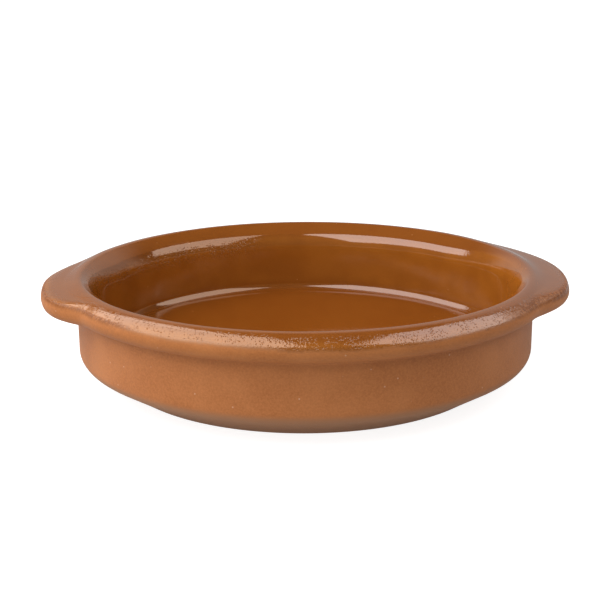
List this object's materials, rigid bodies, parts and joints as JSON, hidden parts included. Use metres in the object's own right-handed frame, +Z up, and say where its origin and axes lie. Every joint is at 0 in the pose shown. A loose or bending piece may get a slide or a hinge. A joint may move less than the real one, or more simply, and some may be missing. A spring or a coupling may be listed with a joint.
{
  "type": "cazuela",
  "caption": "Shallow round earthenware dish for baking and serving, with a thick rolled rim drawn out into a flat ear on each side.",
  "frame": {"origin": "middle of the flat base, on the surface that the dish stands on", "axes": "+Z up out of the bowl, +X out through one ear, +Y across the dish where the rim is plain"},
  "size_m": [0.1722, 0.1606, 0.0351],
  "materials": {
    "fired_clay": "glossy honey-brown glaze inside and over the rim, bare matte clay outside"
  },
  "bodies": {
    "root": {"cazuela_dish": "fired_clay"}
  },
  "joints": []
}
